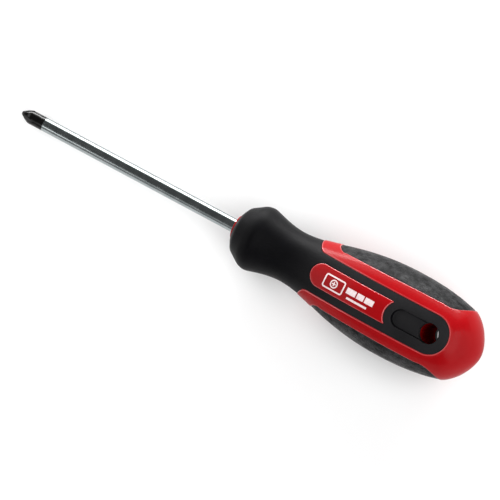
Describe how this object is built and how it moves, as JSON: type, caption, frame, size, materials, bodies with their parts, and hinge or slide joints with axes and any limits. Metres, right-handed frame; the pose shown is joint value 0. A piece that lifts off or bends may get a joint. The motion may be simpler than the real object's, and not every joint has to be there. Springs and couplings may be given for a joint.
{
  "type": "cross-head screwdriver",
  "caption": "Fixed-blade cross-head screwdriver with a round plated shank, dark tip and a red and black two-component handle with soft side pads and a hang hole.",
  "frame": {"origin": "centre of the blade's flat tip end", "axes": "+X out of the tip along the blade, +Z out of one marked face of the handle, +Y out of one soft side pad"},
  "size_m": [0.2206, 0.038, 0.038],
  "materials": {
    "blade_steel": "satin plated shank",
    "tip_black": "blackened",
    "core_plastic": "natural",
    "red_plastic": "glossy",
    "black_grip": "matte",
    "side_pad": "fine grained matte",
    "white_print": "pad printed ink"
  },
  "bodies": {
    "root": {"blade": "blade_steel", "inner_core": "core_plastic", "handle_shell": "red_plastic", "front_grip": "black_grip", "left_pad": "side_pad", "right_pad": "side_pad"}
  },
  "joints": []
}
